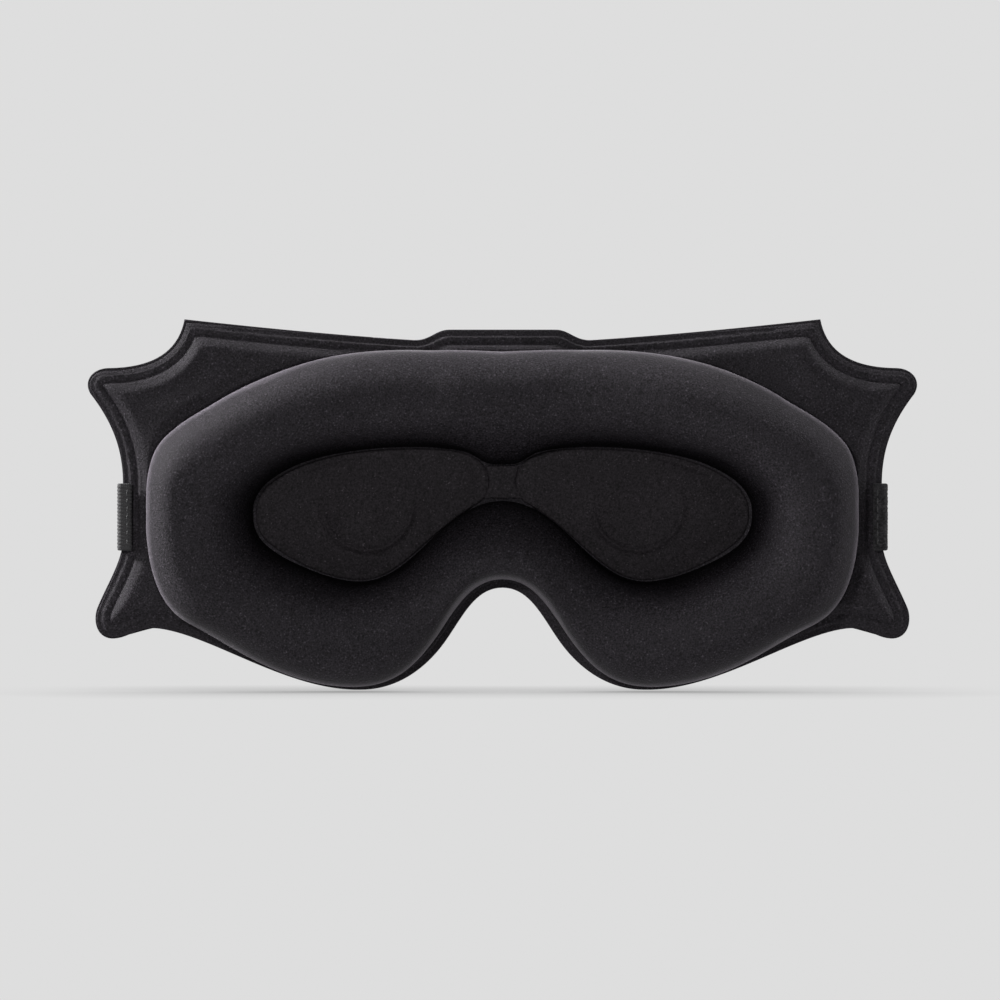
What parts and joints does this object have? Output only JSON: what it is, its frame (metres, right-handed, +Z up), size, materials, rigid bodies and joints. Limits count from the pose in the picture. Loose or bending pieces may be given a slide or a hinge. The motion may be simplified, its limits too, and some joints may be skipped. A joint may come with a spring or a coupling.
{
  "type": "sleep eye mask",
  "caption": "Contoured sleep mask: padded back panel with horned sides, raised ring cushion round both eyes, eye pads and a two-part strap folded behind.",
  "frame": {"origin": "middle of the bounding box's footprint, at the height of the lobes' lowest point", "axes": "+X across the mask, towards the side with the brushed loop strap; +Y from the face side to the outer cover; +Z up, towards the forehead"},
  "size_m": [0.2398, 0.0356, 0.1072],
  "materials": {
    "brushed_fabric": "brushed knit fabric, near-black charcoal, soft sheen",
    "pad_fabric": "fine matte knit, near-black",
    "foam": "open-cell foam, dark grey, hidden inside",
    "webbing": "ribbed elastic webbing, black",
    "loop_pile": "elastic webbing with a brushed loop face, black",
    "hook": "nylon hook tape, black",
    "thread": "polyester sewing thread, charcoal"
  },
  "bodies": {
    "mask": {"outer_cover": "brushed_fabric", "core_foam": "foam", "inner_lining": "brushed_fabric", "cushion_foam": "foam", "cushion_cover": "brushed_fabric", "left_eye_pad": "pad_fabric", "right_eye_pad": "pad_fabric", "bridge_strip": "pad_fabric", "left_strap_tab": "webbing", "right_strap_tab": "loop_pile", "left_tab_stitching": "thread", "right_tab_stitching": "thread"},
    "left_link": {"left_strap_link": "webbing"},
    "left_strap": {"left_strap_run": "webbing"},
    "left_tail": {"left_strap_tail": "webbing", "hook_tape": "hook", "hook_tape_stitching": "thread"},
    "right_link": {"right_strap_link": "loop_pile"},
    "right_strap": {"right_strap": "loop_pile"}
  },
  "joints": [
    {"name": "left_strap_swing", "type": "hinge", "parent": "mask", "child": "left_link", "pos_m": [-0.1113, 0.00255, 0.05], "axis": [0, 0, 1], "range_deg": [0, 175]},
    {"name": "left_strap_wrap", "type": "hinge", "parent": "left_link", "child": "left_strap", "pos_m": [-0.09855, 0.00827, 0.05], "axis": [0, 0, 1], "range_deg": [0, 90]},
    {"name": "left_tail_unfold", "type": "hinge", "parent": "left_strap", "child": "left_tail", "pos_m": [-0.0145, 0.015, 0.05], "axis": [0, 0, -1], "range_deg": [0, 175]},
    {"name": "right_strap_swing", "type": "hinge", "parent": "mask", "child": "right_link", "pos_m": [0.1113, 0.00255, 0.05], "axis": [0, 0, -1], "range_deg": [0, 175]},
    {"name": "right_strap_wrap", "type": "hinge", "parent": "right_link", "child": "right_strap", "pos_m": [0.09855, 0.00728, 0.05], "axis": [0, 0, -1], "range_deg": [0, 90]}
  ]
}
